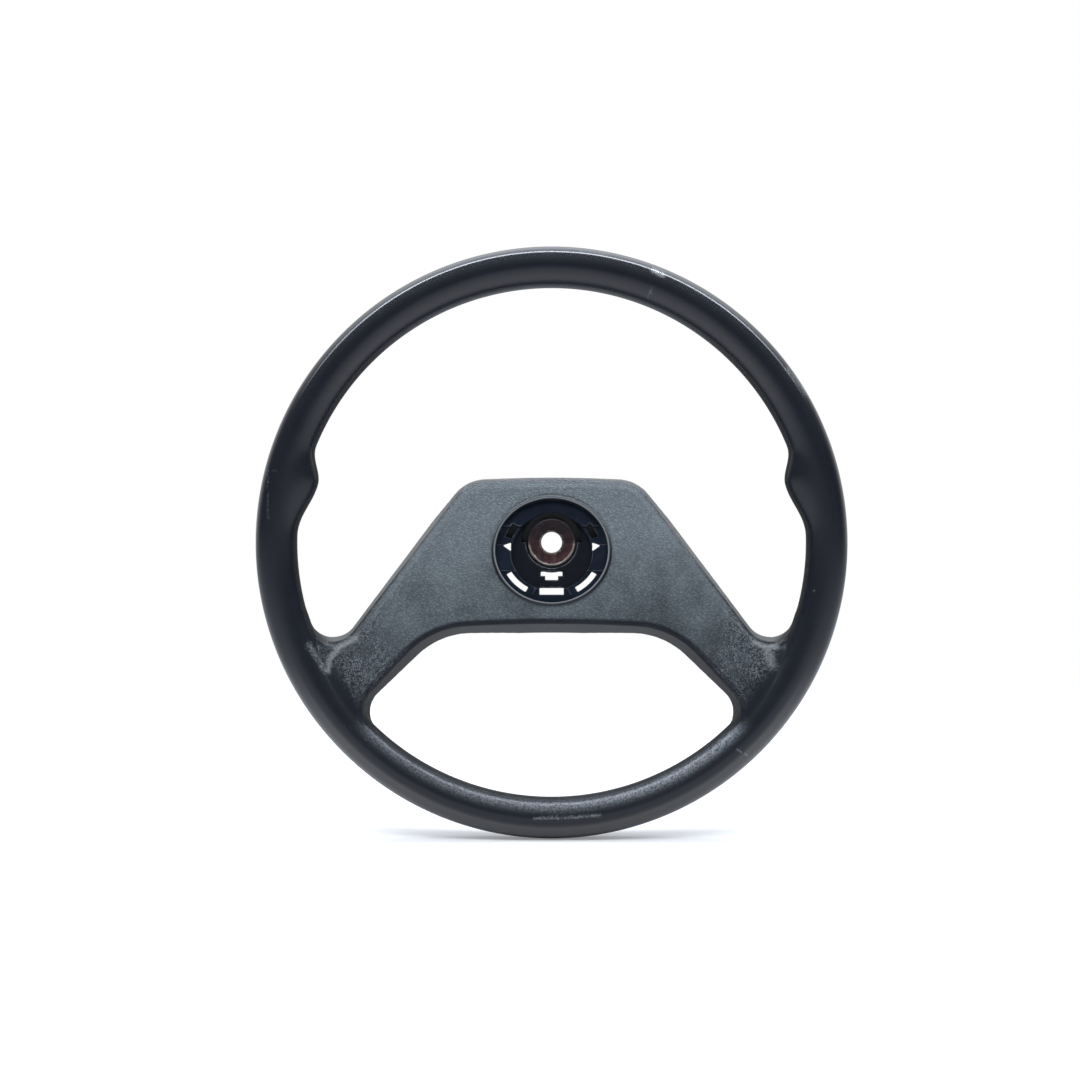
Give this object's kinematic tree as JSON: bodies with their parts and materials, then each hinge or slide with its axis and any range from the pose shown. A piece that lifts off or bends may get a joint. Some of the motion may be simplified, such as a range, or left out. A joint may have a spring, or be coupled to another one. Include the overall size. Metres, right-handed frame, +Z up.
{
  "type": "car steering wheel",
  "caption": "Round car steering wheel with low spokes, thumb rests and a tilted grained hub pad, foam moulded on a steel armature, with an open well for a centre cap.",
  "frame": {"origin": "on the wheel's axis, in the mouth of the bore that goes on the steering column", "axes": "+Y along the axis towards the column, -Y towards the driver, +Z up with the spokes low, +X to the driver's right"},
  "size_m": [0.3804, 0.0833, 0.3804],
  "materials": {
    "foam_skin": "leather-grained pad, smooth worn rim",
    "armature_steel": "black dip paint",
    "boss_steel": "surface rust, worn bright on the edge",
    "black_plastic": "moulded, matte"
  },
  "bodies": {
    "root": {"rim_pad_moulding": "foam_skin", "rim_ring": "armature_steel", "spoke_bar_left": "armature_steel", "spoke_bar_right": "armature_steel", "hub_plate": "armature_steel", "hub_boss": "boss_steel", "cap_retainer": "black_plastic", "cancel_collar": "black_plastic"}
  },
  "joints": []
}
